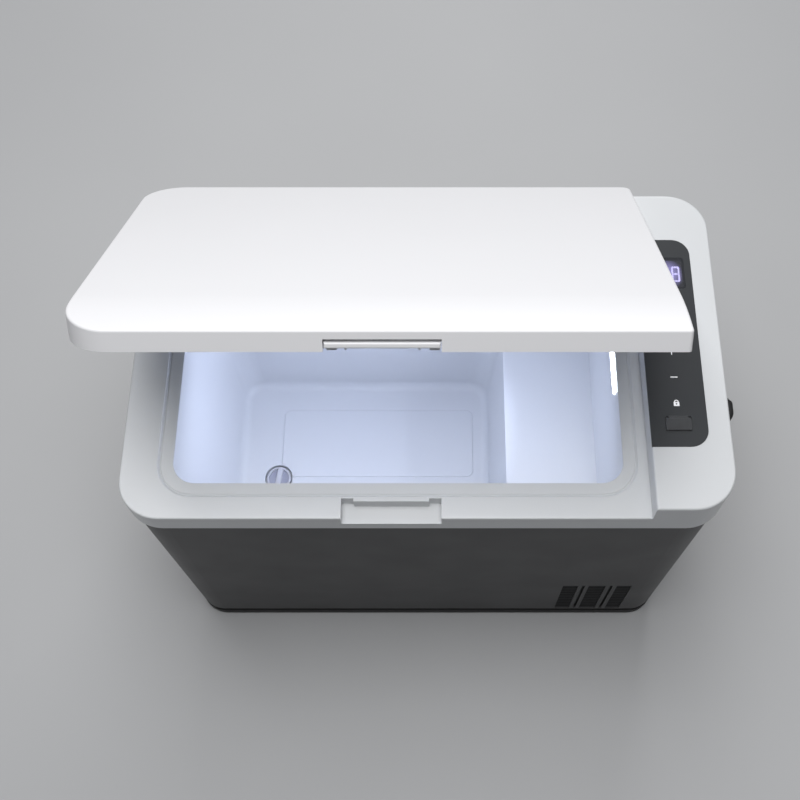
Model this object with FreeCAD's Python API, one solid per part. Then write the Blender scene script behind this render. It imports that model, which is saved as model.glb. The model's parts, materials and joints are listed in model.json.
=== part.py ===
"""Compressor cooler fridge: chest cabinet with a rear-hinged lid, a raised control console
on the right and a hermetic compressor in a bay under a step in the tub.

Millimetres, +Z up, -Y is the front. The dimensions here run from the middle of the top frame, at
ground level. save() then moves each piece, so that the finished origin is the middle of the whole
footprint, with the lid's rear overhang and the power inlet.
"""
import FreeCAD, Part
import math
import os

V = FreeCAD.Vector
ORIGIN = V(8.0, 7.5, 0.0)              # the finished origin, from the middle of the top frame

# ---- driving dimensions -------------------------------------------------------------------
WIDTH, DEPTH = 580.0, 346.0            # outer size of the top frame
CORNER_R = 41.0                        # its corner radius in plan
FEET_H = 6.0
BODY_Z = 24.0                          # bottom edge of the cabinet shell
SPIGOT_Z = 39.0                        # top of the base tray's wall inside the shell
RIM_Z = 363.0                          # lower edge of the top frame
DECK_Z = 390.0                         # deck round the tub opening
CONSOLE_Z = 415.0                      # top of the raised console
CONSOLE_X = 213.5                      # left wall of the console
NECK_Z = DECK_Z - 17.0                 # top edge of the cabinet shell, inside the top frame
WALL = 2.4                             # moulded wall thickness
TOP_INSET, BOTTOM_INSET = 2.5, 10.5    # cabinet shell inside the frame, at its top and bottom

FRONT_Y = -DEPTH / 2
BACK_Y = DEPTH / 2
HALF_W = WIDTH / 2

OPEN_X0, OPEN_X1 = -240.0, 190.0       # tub opening in the deck
OPEN_Y0, OPEN_Y1 = FRONT_Y + 36.0, FRONT_Y + 300.0
OPEN_R = 22.0
BAND = 12.5                            # gasket band round the opening
TUB_Z = 85.0                           # tub floor
STEP_Z = 240.0                         # shelf over the machine bay
STEP_X0, STEP_X1 = 76.0, 91.0          # foot and top of the step's riser
TUB_WALL = 2.0
BAY_X0, BAY_Z1 = 104.0, 205.0          # machine bay under the step
DUCT_X0 = 229.0                        # air duct and electronics beside the tub

LID_X0, LID_X1 = -286.0, 212.5
LID_Y0, LID_Y1 = FRONT_Y, FRONT_Y + 345.0
LID_Z0, LID_Z1 = DECK_Z + 0.5, DECK_Z + 25.5
LID_NOSE_DROP = 6.5                    # how far the lid's top falls to its front edge
LID_OPEN = 36.9                        # lid angle at rest, degrees
HINGE_Y, HINGE_Z = FRONT_Y + 355.0, DECK_Z + 14.0
HINGE_XS = (-190.0, 116.0)
PIN_R = 2.0
RUN_GAP = 0.05                         # radial clearance of a running pin

LATCH_X = -31.0                        # middle of the latch
POCKET_W, POCKET_D, POCKET_H = 94.5, 17.4, 14.0
NOTCH_W, NOTCH_D = 11.7, 2.9
LATCH_Y, LATCH_Z = FRONT_Y + 9.0, DECK_Z + 7.0

PANEL_Y0, PANEL_Y1 = FRONT_Y + 62.3, FRONT_Y + 291.3
PANEL_X1 = 268.3
PANEL_T = 2.0
KEY_X = 240.4
USB_Y = FRONT_Y + 85.9

DRAIN_X, DRAIN_Y = -183.0, FRONT_Y + 158.5
FAN_X, FAN_Y, FAN_Z = 195.0, -92.0, 88.0
COMP_X, COMP_Y = 183.0, 62.0

os.makedirs("parts", exist_ok=True)


# ---- helpers ------------------------------------------------------------------------------
def outline(x0, x1, y0, y1, z, radii):
    """Rounded rectangle wire; radii are front-left, front-right, back-right, back-left."""
    if not isinstance(radii, tuple):
        radii = (radii,) * 4
    corners = ((x0, y0, 1, 1, 180), (x1, y0, -1, 1, 270), (x1, y1, -1, -1, 0), (x0, y1, 1, -1, 90))
    pts, arcs = [], []
    for (cx, cy, sx, sy, a0), r in zip(corners, radii):
        if r <= 0:
            pts.append((V(cx, cy, z), None, V(cx, cy, z)))
            continue
        ox, oy = cx + sx * r, cy + sy * r
        ring = [V(ox + r * math.cos(math.radians(a)), oy + r * math.sin(math.radians(a)), z)
                for a in (a0, a0 + 45, a0 + 90)]
        pts.append(tuple(ring))
    edges = []
    for i, (start, mid, end) in enumerate(pts):
        if mid is not None:
            edges.append(Part.Arc(start, mid, end).toShape())
        nxt = pts[(i + 1) % 4][0]
        if (nxt - end).Length > 1e-6:
            edges.append(Part.LineSegment(end, nxt).toShape())
    return Part.Wire(edges)


def plate(x0, x1, y0, y1, z0, z1, radii=0.0):
    """Upright prism with a rounded-rectangle outline."""
    return Part.Face(outline(x0, x1, y0, y1, z0, radii)).extrude(V(0, 0, z1 - z0))


def taper(low, high):
    """Solid between two rounded rectangles, each given as (x0, x1, y0, y1, z, radii)."""
    return Part.makeLoft([outline(*low), outline(*high)], True, True)


def grown(rect, by):
    return rect[0] - by, rect[1] + by, rect[2] - by, rect[3] + by


def box(x0, x1, y0, y1, z0, z1):
    return Part.makeBox(x1 - x0, y1 - y0, z1 - z0, V(x0, y0, z0))


def rod(x, y, z, r, length, axis=V(0, 0, 1)):
    return Part.makeCylinder(r, length, V(x, y, z), axis)


def join(first, *others):
    result = first
    for other in others:
        result = result.fuse(other)
    return result.removeSplitter()


def fillet_where(shape, radius, test):
    """Rounds the edges whose two ends and middle all pass the test."""
    picked = []
    for edge in shape.Edges:
        pts = [v.Point for v in edge.Vertexes] + [edge.CenterOfMass]
        if all(test(p) for p in pts):
            picked.append(edge)
    return shape.makeFillet(radius, picked) if picked else shape


def at_height(z):
    return lambda p: abs(p.z - z) < 1e-3


def pipe(points, r, bend):
    """Tube of radius r along straight runs joined by tangent arcs of radius bend."""
    pts = [V(*p) for p in points]
    edges, last = [], pts[0]
    for a, b, c in zip(pts, pts[1:], pts[2:]):
        d1, d2 = (a - b).normalize(), (c - b).normalize()
        half = d1.getAngle(d2) / 2
        cut = bend / math.tan(half)
        p1, p2 = b + d1 * cut, b + d2 * cut
        mid_dir = (d1 + d2).normalize()
        mid = b + mid_dir * (bend / math.sin(half) - bend)
        if (p1 - last).Length > 1e-6:
            edges.append(Part.LineSegment(last, p1).toShape())
        edges.append(Part.Arc(p1, mid, p2).toShape())
        last = p2
    edges.append(Part.LineSegment(last, pts[-1]).toShape())
    ring = Part.Wire([Part.Circle(pts[0], pts[1] - pts[0], r).toShape()])
    return Part.Wire(edges).makePipeShell([ring], True, False)


def tilted(shape):
    """Turns a lid piece from its closed place to its open place at rest."""
    out = shape.copy()
    out.rotate(V(0, HINGE_Y, HINGE_Z), V(-1, 0, 0), LID_OPEN)
    return out


def save(name, shape):
    if isinstance(shape, list):
        shape = Part.Compound(shape)
    shape = shape.translated(ORIGIN * -1)
    for solid in shape.Solids:
        if not solid.isValid():
            print("INVALID", name)
    print("%-24s solids %2d  volume %9.0f" % (name, len(shape.Solids), shape.Volume))
    shape.exportStep("parts/" + name + ".step")


def screw(x, y, z, axis, shank_r=1.6, head_r=3.2, length=10.0, head_h=2.2):
    """Pan-head screw, its head's underside at the given point, driven along -axis."""
    shank = Part.makeCylinder(shank_r, length, V(x, y, z), axis * -1)
    head = Part.makeCylinder(head_r, head_h, V(x, y, z), axis)
    slot_at = V(x, y, z) + axis * (head_h - 0.9)
    side = V(0, 1, 0) if abs(axis.z) > 0.5 or abs(axis.x) > 0.5 else V(1, 0, 0)
    cross = axis.cross(side)
    cutters = []
    for along, across in ((side, cross), (cross, side)):
        corner = slot_at - along * (head_r * 0.65) - across * 0.4
        face = Part.Face(Part.makePolygon([corner, corner + along * (head_r * 1.3),
                                           corner + along * (head_r * 1.3) + across * 0.8,
                                           corner + across * 0.8, corner]))
        cutters.append(face.extrude(axis * 1.2))
    return join(shank, head).cut(cutters)


# ---- tub, as the air inside it grown by an offset -------------------------------------------
def tub_space(grow, top_z=DECK_Z - 3.0):
    deep = taper((OPEN_X0 + 9 - grow, STEP_X0 + grow, OPEN_Y0 + 9 - grow, OPEN_Y1 - 14 + grow,
                  TUB_Z - grow, 24.0 + grow),
                 (OPEN_X0 - grow, STEP_X1 + 8 + grow, OPEN_Y0 - grow, OPEN_Y1 + grow,
                  top_z, OPEN_R + grow))
    shelf = taper((OPEN_X0 + 4.5 - grow, OPEN_X1 - 4 + grow, OPEN_Y0 + 4.5 - grow,
                   OPEN_Y1 - 7 + grow, STEP_Z - grow, 22.0 + grow),
                  (OPEN_X0 - grow, OPEN_X1 + grow, OPEN_Y0 - grow, OPEN_Y1 + grow,
                   top_z, OPEN_R + grow))
    return deep.fuse(shelf).removeSplitter()


def rounded_tub(grow, top_z=DECK_Z - 3.0):
    """The tub space with its floor, shelf and riser edges rounded."""
    space = tub_space(grow, top_z)
    radius = 10.0 + grow
    for level in (TUB_Z - grow, STEP_Z - grow):
        try:
            rounded = fillet_where(space, radius, at_height(level))
            if rounded.isValid() and len(rounded.Solids) == 1:
                space = rounded
        except Exception:
            print("tub edge left sharp at", level)
    return space


# ---- cabinet shell ---------------------------------------------------------------------------
def cabinet(inset):
    """Tapering outer volume of the cabinet, grown inwards by inset."""
    top = (-HALF_W + TOP_INSET + inset, HALF_W - TOP_INSET - inset,
           FRONT_Y + TOP_INSET + inset, BACK_Y - TOP_INSET - inset, RIM_Z, 40.0 - inset)
    low = (-HALF_W + BOTTOM_INSET + inset, HALF_W - BOTTOM_INSET - inset,
           FRONT_Y + BOTTOM_INSET + inset, BACK_Y - BOTTOM_INSET - inset, BODY_Z, 32.0 - inset)
    neck = plate(*top[:4], RIM_Z, NECK_Z, 40.0 - inset)
    return taper(low, top).fuse(neck).removeSplitter()


VENT_Z0, VENT_Z1 = 27.0, 134.0
VENT_GROUPS = ((156.0, 173.5), (185.5, 205.0), (217.5, 234.5))
SIDE_VENT = (-120.0, 120.0)


def skin_y(z):
    """Y of the cabinet's front skin at height z."""
    t = (z - BODY_Z) / (RIM_Z - BODY_Z)
    return FRONT_Y + BOTTOM_INSET + (TOP_INSET - BOTTOM_INSET) * t


def skin_slab(x0, x1, z0, z1, y_near, y_far):
    """Slanted slab that follows the cabinet's front skin, between two depths behind it."""
    profile = Part.makePolygon([V(x0, skin_y(z0) + y_near, z0), V(x0, skin_y(z0) + y_far, z0),
                                V(x0, skin_y(z1) + y_far, z1), V(x0, skin_y(z1) + y_near, z1),
                                V(x0, skin_y(z0) + y_near, z0)])
    return Part.Face(profile).extrude(V(x1 - x0, 0, 0))


def front_grille_block(grow, y_in):
    return skin_slab(VENT_GROUPS[0][0] - 4 - grow, VENT_GROUPS[-1][1] + 4 + grow,
                     VENT_Z0 - grow, VENT_Z1 + 4 + grow, 0.0, y_in)


def make_front_grille():
    cuts = []
    for x0, x1 in VENT_GROUPS:
        cuts.append(box(x0, x1, FRONT_Y, FRONT_Y + 30, VENT_Z0 + 1.5, VENT_Z1))
    for left, right in zip(VENT_GROUPS, VENT_GROUPS[1:]):
        mid = (left[1] + right[0]) / 2
        cuts.append(box(mid - 1.6, mid + 1.6, FRONT_Y, FRONT_Y + 30, VENT_Z0 + 1.5, VENT_Z1))
    return front_grille_block(0.0, 3.2).cut(cuts)


def make_front_louvres():
    """Insert behind the grille: a thin frame whose sloped slats fill the grille's three windows."""
    pitch, count, gap = 8.1, 13, 0.15
    insert = skin_slab(VENT_GROUPS[0][0] - 2.5, VENT_GROUPS[-1][1] + 2.5,
                       VENT_Z0 + 0.5, VENT_Z1 + 2.5, 3.3, 4.4)
    insert = insert.cut([box(x0 + 1.0, x1 - 1.0, FRONT_Y, FRONT_Y + 30, VENT_Z0 + 3.0, VENT_Z1 - 1.0)
                         for x0, x1 in VENT_GROUPS])
    slats = []
    for x0, x1 in VENT_GROUPS:
        for i in range(count):
            z = VENT_Z0 + 5.5 + i * pitch
            y = skin_y(z) + 0.8
            corners = ((y, z - 1.6), (y + 2.4, z + 1.6), (y + 3.4, z + 1.6), (y + 3.4, z + 2.9),
                       (y + 2.4, z + 2.9), (y, z - 0.3), (y, z - 1.6))
            section = Part.makePolygon([V(x0 + gap, cy, cz) for cy, cz in corners])
            slats.append(Part.Face(section).extrude(V(x1 - x0 - 2 * gap, 0, 0)))
    return insert.fuse(slats).removeSplitter()


def skin_x(z):
    t = (z - BODY_Z) / (RIM_Z - BODY_Z)
    return HALF_W - BOTTOM_INSET + (BOTTOM_INSET - TOP_INSET) * t


def side_grille_block(y0, y1, z0, z1, x_in):
    profile = Part.makePolygon([V(skin_x(z0), y0, z0), V(skin_x(z0) - x_in, y0, z0),
                                V(skin_x(z1) - x_in, y0, z1), V(skin_x(z1), y0, z1),
                                V(skin_x(z0), y0, z0)])
    return Part.Face(profile).extrude(V(0, y1 - y0, 0))


SIDE_GRILLE = (-95.0, 95.0, 40.0, 130.0)


def make_side_grille():
    y0, y1, z0, z1 = SIDE_GRILLE
    frame = side_grille_block(y0, y1, z0, z1, 3.2)
    cuts = [box(HALF_W - 40, HALF_W, y0 + 4 + i * 46.5, y0 + 4 + i * 46.5 + 42.5, z0 + 4, z1 - 4)
            for i in range(4)]
    frame = frame.cut(cuts)
    slats = []
    for i in range(10):
        z = z0 + 7.0 + i * 8.1
        x = skin_x(z) - 0.6
        section = Part.makePolygon([V(x, y0 + 3.5, z - 1.6), V(x - 2.4, y0 + 3.5, z + 1.6),
                                    V(x - 2.4, y0 + 3.5, z + 3.2), V(x, y0 + 3.5, z),
                                    V(x, y0 + 3.5, z - 1.6)])
        slats.append(Part.Face(section).extrude(V(0, y1 - y0 - 7.0, 0)))
    return frame.fuse(slats).removeSplitter()


INLET_Y0, INLET_Y1 = FRONT_Y + 106.0, FRONT_Y + 131.0
INLET_Z0, INLET_Z1 = DECK_Z - 56.0, DECK_Z - 14.0
INLET_X1 = HALF_W + 16.0


def make_shell():
    shell = cabinet(0.0).cut(cabinet(WALL))
    shell = shell.cut(plate(-HALF_W, HALF_W, FRONT_Y, BACK_Y, 0, BODY_Z + 0.001))
    y0, y1, z0, z1 = SIDE_GRILLE
    holes = [front_grille_block(0.0, 20.0), front_grille_block(0.0, 20.0).translated(V(0, -3, 0)),
             side_grille_block(y0, y1, z0, z1, 20.0),
             side_grille_block(y0, y1, z0, z1, 20.0).translated(V(3, 0, 0)),
             box(DUCT_X0 + 30, HALF_W + 5, INLET_Y0 + 5, INLET_Y1 - 5, INLET_Z0 + 6, RIM_Z - 5)]
    for x, y, axis in base_screw_places():
        holes.append(Part.makeCylinder(1.7, 30, V(x, y, 32.0) + axis * 12, axis * -1))
    return shell.cut(holes)


def base_screw_places():
    """Places and outward axes of the screws that hold the shell to the base tray."""
    for x in (-190.0, 0.0, 110.0):
        yield x, -skin_y(32.0), V(0, 1, 0)
    yield -skin_x(32.0), 0.0, V(-1, 0, 0)


# ---- base ---------------------------------------------------------------------------------------
FEET_XY = [(sx * 225.0, sy * 118.0) for sx in (-1, 1) for sy in (-1, 1)]


def base_rect(inset, z0, z1, r):
    e = BOTTOM_INSET + inset
    return plate(-HALF_W + e, HALF_W - e, FRONT_Y + e, BACK_Y - e, z0, z1, r)


def make_base():
    tray = join(base_rect(0.0, FEET_H, FEET_H + 8.5, 32.0), base_rect(5.0, FEET_H + 8.0, BODY_Z - 3, 27.0),
                base_rect(WALL + 0.1, BODY_Z - 3, SPIGOT_Z, 29.4))
    tray = tray.cut(base_rect(7.5, FEET_H + 3.0, 60.0, 24.5))
    cuts = [rod(DRAIN_X, DRAIN_Y, 0, 11.0, 20), front_grille_block(0.4, 9.0)]
    for x, y in FEET_XY:
        cuts.append(rod(x, y, 0, 2.0, 20))
    for x, y, axis in base_screw_places():
        cuts.append(Part.makeCylinder(1.6, 30, V(x, y, 32.0) + axis * 12, axis * -1))
    for i in range(9):
        cuts.append(plate(128.0 + i * 15.0, 134.0 + i * 15.0, -40.0, 30.0, 0, 20, 2.9))
    return tray.cut(cuts)


# ---- top frame ---------------------------------------------------------------------------------
def make_top_frame():
    deck = plate(-HALF_W, HALF_W, FRONT_Y, BACK_Y, RIM_Z, DECK_Z, CORNER_R)
    deck = fillet_where(deck, 1.5, at_height(DECK_Z))
    console = plate(CONSOLE_X, HALF_W, FRONT_Y, BACK_Y, RIM_Z, CONSOLE_Z, (0, CORNER_R, CORNER_R, 0))
    console = fillet_where(console, 2.2, at_height(CONSOLE_Z))
    frame = join(deck, console)
    inner = plate(-HALF_W + WALL, HALF_W - WALL, FRONT_Y + WALL, BACK_Y - WALL, RIM_Z - 1,
                  DECK_Z - 3.0, CORNER_R - WALL)
    inner_console = plate(CONSOLE_X + WALL, HALF_W - WALL, FRONT_Y + WALL, BACK_Y - WALL,
                          RIM_Z - 1, CONSOLE_Z - 3.0, (2.0, CORNER_R - WALL, CORNER_R - WALL, 2.0))
    frame = frame.cut([inner, inner_console])
    half = POCKET_W / 2
    well = box(LATCH_X - half - 2.2, LATCH_X + half + 2.2, FRONT_Y + 1.0,
               FRONT_Y + POCKET_D + NOTCH_D + 2.2, DECK_Z - POCKET_H - 2.4, DECK_Z - 1.0)
    frame = join(frame, well)
    cuts = [box(LATCH_X - half, LATCH_X + half, FRONT_Y - 1, FRONT_Y + POCKET_D,
                DECK_Z - POCKET_H, DECK_Z + 1)]
    for x0 in (LATCH_X - half, LATCH_X + half - NOTCH_W):
        cuts.append(box(x0, x0 + NOTCH_W, FRONT_Y + 5, FRONT_Y + POCKET_D + NOTCH_D,
                        DECK_Z - POCKET_H, DECK_Z + 1))
    cuts.append(plate(OPEN_X0, OPEN_X1, OPEN_Y0, OPEN_Y1, DECK_Z - 20, DECK_Z + 1, OPEN_R))
    outer = (OPEN_X0 - BAND, OPEN_X1 + BAND - 1, OPEN_Y0 - BAND + 1, OPEN_Y1 + BAND - 1)
    cuts.append(plate(*outer, DECK_Z - 1.2, DECK_Z + 1, 32.0))
    cuts.append(taper(grown(outer, 0.4) + (DECK_Z - 2.2, 32.4), grown(outer, 3.6) + (DECK_Z + 1, 35.6))
                .cut(taper(outer + (DECK_Z - 2.3, 32.0), grown(outer, -3.3) + (DECK_Z + 1, 28.7))))
    cuts.append(plate(CONSOLE_X - 5, PANEL_X1, PANEL_Y0, PANEL_Y1, CONSOLE_Z - PANEL_T,
                      CONSOLE_Z + 1, (0, 18.0, 18.0, 0)))
    cuts.append(plate(KEY_X - 20, KEY_X + 22, USB_Y - 14, PANEL_Y1 - 14, CONSOLE_Z - 6,
                      CONSOLE_Z, 4.0))
    cuts.append(box(HALF_W - 6, HALF_W + 1, INLET_Y0 + 5, INLET_Y1 - 5, RIM_Z - 2, INLET_Z1 - 5))
    for x in HINGE_XS:
        for dx in (-17.0, 17.0):
            cuts.append(rod(x + dx, BACK_Y - 10, DECK_Z - 12.0, 1.6, 20, V(0, 1, 0)))
    return frame.cut(cuts)


# ---- liner -------------------------------------------------------------------------------------
def make_liner():
    flange_z = DECK_Z - 3.0
    flange = plate(OPEN_X0 - 14, OPEN_X1 + 14, OPEN_Y0 - 9.5, OPEN_Y1 + 14, flange_z - 2.0, flange_z, 30.0)
    liner = join(rounded_tub(TUB_WALL, flange_z), flange)
    liner = liner.cut(rounded_tub(0.0, flange_z + 0.0))
    liner = liner.cut(plate(OPEN_X0, OPEN_X1, OPEN_Y0, OPEN_Y1, flange_z - 0.01, flange_z + 1, OPEN_R))
    pads = []
    for y0, y1 in ((FRONT_Y + 62.0, FRONT_Y + 148.0), (FRONT_Y + 160.0, FRONT_Y + 250.0)):
        pad = plate(-180.0, 57.0, y0, y1, TUB_Z - 0.5, TUB_Z + 1.6, 8.0)
        pads.append(fillet_where(pad, 1.2, at_height(TUB_Z + 1.6)))
    liner = join(liner, *pads)
    well = rod(DRAIN_X, DRAIN_Y, TUB_Z - 10, 19.0, 10.0 - TUB_WALL)
    liner = join(liner, well)
    cuts = [rod(DRAIN_X, DRAIN_Y, TUB_Z - 8.0, 17.0, 30),
            rod(DRAIN_X, DRAIN_Y, TUB_Z - 20.0, 10.0, 40)]
    cuts.append(led_pocket(0.0))
    cuts.append(Part.makeCylinder(3.0, 16, V(SENSOR_X, OPEN_Y1 - 14, SENSOR_Z), V(0, 1, 0)))
    return liner.cut(cuts)


LED_Y0, LED_Y1, LED_Z = FRONT_Y + 138.0, FRONT_Y + 198.0, DECK_Z - 15.0
SENSOR_X, SENSOR_Z = 150.0, 300.0


def led_pocket(grow):
    return plate(OPEN_X1 - 6, OPEN_X1 + 9 + grow, LED_Y0 - grow, LED_Y1 + grow, LED_Z - 5 - grow,
                 LED_Z + 5 + grow)


# ---- foam and machine bay ------------------------------------------------------------------------
def make_foam():
    foam = cabinet(WALL + 0.2).cut(plate(-HALF_W, HALF_W, FRONT_Y, BACK_Y, 0, 45.0))
    foam = foam.cut(box(-HALF_W, HALF_W, FRONT_Y, BACK_Y, DECK_Z - 14.0, DECK_Z + 20))
    cuts = [rounded_tub(TUB_WALL + 0.1, DECK_Z + 5.0),
            box(BAY_X0 - 1.2, HALF_W, FRONT_Y, BACK_Y, 0, BAY_Z1 + 1.2),
            box(DUCT_X0 - 1.2, HALF_W, FRONT_Y, BACK_Y, BAY_Z1 - 5, DECK_Z + 10),
            rod(DRAIN_X, DRAIN_Y, 0, 19.2, TUB_Z),
            led_pocket(0.2).fuse(led_pocket(0.2).translated(V(6, 0, 0))),
            rod(SENSOR_X, OPEN_Y1 - 6, SENSOR_Z, 6.2, 16, V(0, 1, 0)),
            rod(85.0, 120.0, 180.0, 3.4, 20.0, V(1, 0, 0)),
            box(LATCH_X - 52, LATCH_X + 52, FRONT_Y, FRONT_Y + 25, DECK_Z - 16, DECK_Z)]
    cuts.append(evaporator_band(3.0, 0.3, 1.8))
    cuts.append(box(-120.4, 60.4, 134.6, 144.4, 249.6, 331.4))
    return foam.cut(cuts)


def evaporator_band(start, thick, extra=0.0):
    """Sheet wrapped round the tub between two heights, outside its wall."""
    z0, z1 = STEP_Z + 10.0 - extra, STEP_Z + 96.0 + extra
    slab = box(-HALF_W, HALF_W, FRONT_Y, BACK_Y, z0, z1)
    return tub_space(start + thick + extra).common(slab).cut(tub_space(start - 0.4 - 0.0))


def make_evaporator():
    z0, z1 = STEP_Z + 10.0, STEP_Z + 96.0
    slab = box(-HALF_W, HALF_W, FRONT_Y, BACK_Y, z0, z1)
    sheet = tub_space(TUB_WALL + 1.6).common(slab).cut(tub_space(TUB_WALL + 0.8))
    return sheet.cut(rod(SENSOR_X, OPEN_Y1 - 14, SENSOR_Z, 6.5, 24, V(0, 1, 0)))


def make_evaporator_tube():
    y, r, bend = 139.5, 3.0, 8.0
    route = []
    for i, z in enumerate((258.0, 274.0, 290.0, 306.0, 322.0)):
        ends = (-116.0, 56.0) if i % 2 == 0 else (56.0, -116.0)
        route += [(ends[0], y, z), (ends[1], y, z)]
    return pipe(route, r, bend - 0.01)


def make_bay_wall():
    """Folded sheet-steel partition between the foam and the machine bay and duct."""
    y0, y1 = FRONT_Y + 18.3, BACK_Y - 18.3
    t = 1.0
    sheet = join(box(BAY_X0 - t, BAY_X0, y0, y1, FEET_H + 3.2, BAY_Z1 + t),
                 box(BAY_X0 - t, DUCT_X0, y0, y1, BAY_Z1, BAY_Z1 + t),
                 box(DUCT_X0 - t, DUCT_X0, y0, y1, BAY_Z1, DECK_Z - 16.0))
    ports = [rod(BAY_X0 - 5, 120.0, 180.0, 7.0, 10, V(1, 0, 0)),
             rod(BAY_X0 - 5, -120.0, 60.0, 7.0, 10, V(1, 0, 0))]
    return sheet.cut(ports)


# ---- refrigeration --------------------------------------------------------------------------------
MOUNT_Z = FEET_H + 3.0
GROMMET_XY = [(COMP_X + sx * 62.0, COMP_Y + sy * 44.0) for sx in (-1, 1) for sy in (-1, 1)]


def make_mount_plate():
    slab = plate(COMP_X - 74, COMP_X + 74, COMP_Y - 56, COMP_Y + 56, MOUNT_Z, MOUNT_Z + 2.0, 6.0)
    holes = [rod(x, y, 0, 2.6, 60) for x, y in GROMMET_XY]
    return slab.cut(holes)


def make_compressor():
    base_z = MOUNT_Z + 2.0 + 12.0
    can = rod(COMP_X, COMP_Y, base_z + 6, 50.0, 78.0)
    can = fillet_where(can, 16.0, lambda p: True)
    belt = rod(COMP_X, COMP_Y, base_z + 46, 52.0, 5.0)
    foot = plate(COMP_X - 72, COMP_X + 72, COMP_Y - 53, COMP_Y + 53, base_z, base_z + 2.5, 8.0)
    neck = rod(COMP_X, COMP_Y, base_z + 2.0, 33.0, 8.0)
    port = rod(COMP_X - 20, COMP_Y + 22, base_z + 78, 4.0, 16.0)
    service = rod(COMP_X + 22, COMP_Y + 22, base_z + 78, 4.0, 12.0)
    body = join(can, belt, foot, neck, port, service)
    return body.cut([rod(x, y, 0, 5.0, 60) for x, y in GROMMET_XY])


def make_terminal_box():
    z = MOUNT_Z + 40.0
    x = COMP_X + 51.5
    shell = plate(x, x + 20.0, COMP_Y - 26, COMP_Y + 26, z, z + 44.0, 2.0)
    shell = shell.cut(rod(COMP_X, COMP_Y, z - 5, 52.2, 60))
    return shell.cut(rod(x + 12, COMP_Y, z - 1, 4.0, 8))


def make_grommets():
    out = []
    for x, y in GROMMET_XY:
        z = MOUNT_Z + 2.0
        low = rod(x, y, z, 8.5, 12.0)
        neck = rod(x, y, z + 12.0, 4.9, 2.5)
        cap = rod(x, y, z + 14.5, 7.5, 4.0)
        out.append(join(low, neck, cap).cut(rod(x, y, 0, 2.6, 80)))
    return out


def make_compressor_bolts():
    out = []
    for x, y in GROMMET_XY:
        z = MOUNT_Z + 2.0 + 18.5
        washer = rod(x, y, z, 6.5, 1.0)
        hexagon = Part.Face(Part.makePolygon([V(x + 4.0 * math.cos(math.radians(a)),
                                                y + 4.0 * math.sin(math.radians(a)), z + 1.0)
                                              for a in range(0, 361, 60)]))
        out.append(join(rod(x, y, MOUNT_Z + 0.5, 2.5, 22.0), washer, hexagon.extrude(V(0, 0, 3.5))))
    return out


COND_X0, COND_X1 = 124.0, 256.0
COND_Y0, COND_Y1 = -148.0, -124.0
COND_ROWS = (40.0, 58.0, 76.0, 94.0, 112.0, 130.0)


def make_condenser_fins():
    fins = []
    count = 34
    pitch = (COND_X1 - COND_X0) / (count - 1)
    holes = [rod(COND_X0 - 5, (COND_Y0 + COND_Y1) / 2, z, 3.2, COND_X1 - COND_X0 + 10, V(1, 0, 0))
             for z in COND_ROWS]
    for i in range(count):
        x = COND_X0 + i * pitch
        fins.append(box(x, x + 0.5, COND_Y0, COND_Y1, 28.0, 142.0).cut(holes))
    return fins


def make_condenser_tube():
    y = (COND_Y0 + COND_Y1) / 2
    route = []
    for i, z in enumerate(COND_ROWS):
        ends = (COND_X0 - 12.0, COND_X1 + 12.0)
        if i % 2:
            ends = ends[::-1]
        route += [(ends[0], y, z), (ends[1], y, z)]
    return pipe(route, 3.0, 8.99)


def make_pipes():
    top = MOUNT_Z + 2.0 + 12.0 + 78.0 + 16.0
    port_x, port_y = COMP_X - 20, COMP_Y + 22
    suction = pipe([(port_x, port_y, top), (port_x, port_y, 180.0), (port_x, 120.0, 180.0),
                    (92.0, 120.0, 180.0)], 3.0, 12.0)
    service_top = MOUNT_Z + 2.0 + 12.0 + 78.0 + 12.0
    cy = (COND_Y0 + COND_Y1) / 2
    discharge = pipe([(COMP_X + 22, COMP_Y + 22, service_top), (COMP_X + 22, COMP_Y + 22, 168.0),
                      (270.0, COMP_Y + 22, 168.0), (270.0, -100.0, 168.0), (270.0, -100.0, 148.0),
                      (270.0, cy, 148.0)], 2.5, 9.0)
    return suction, discharge


def make_filter_drier():
    x, z = 118.0, 60.0
    can = rod(x, -70.0, z, 9.0, 70.0, V(0, 1, 0))
    can = fillet_where(can, 4.0, lambda p: True)
    tails = [rod(x, -90.0, z, 2.5, 24.0, V(0, 1, 0)), rod(x, -2.0, z, 2.0, 20.0, V(0, 1, 0))]
    return join(can, *tails)


# ---- fan ------------------------------------------------------------------------------------------
def make_fan_frame():
    h, y0, y1 = 46.0, FAN_Y - 12.5, FAN_Y + 12.5
    body = box(FAN_X - h, FAN_X + h, y0, y1, FAN_Z - h, FAN_Z + h)
    body = fillet_where(body, 5.0, lambda p: abs(p.y - FAN_Y) < 13 and abs(abs(p.x - FAN_X) - h) < .01
                        and abs(abs(p.z - FAN_Z) - h) < .01)
    body = body.cut(rod(FAN_X, y0 - 1, FAN_Z, 43.5, 27, V(0, 1, 0)))
    hub = rod(FAN_X, y1 - 4.0, FAN_Z, 17.0, 4.0, V(0, 1, 0))
    struts = []
    for k in range(4):
        strut = box(FAN_X + 10, FAN_X + 45.0, y1 - 3.0, y1, FAN_Z - 2, FAN_Z + 2)
        strut.rotate(V(FAN_X, 0, FAN_Z), V(0, 1, 0), 45 + 90 * k)
        struts.append(strut)
    body = join(body, hub, *struts)
    post = rod(FAN_X, y1 - 18.0, FAN_Z, 2.0, 16.0, V(0, 1, 0))
    holes = [rod(FAN_X + sx * 41.0, y0 - 1, FAN_Z + sz * 41.0, 2.1, 27, V(0, 1, 0))
             for sx in (-1, 1) for sz in (-1, 1)]
    return join(body.cut(holes), post)


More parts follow.
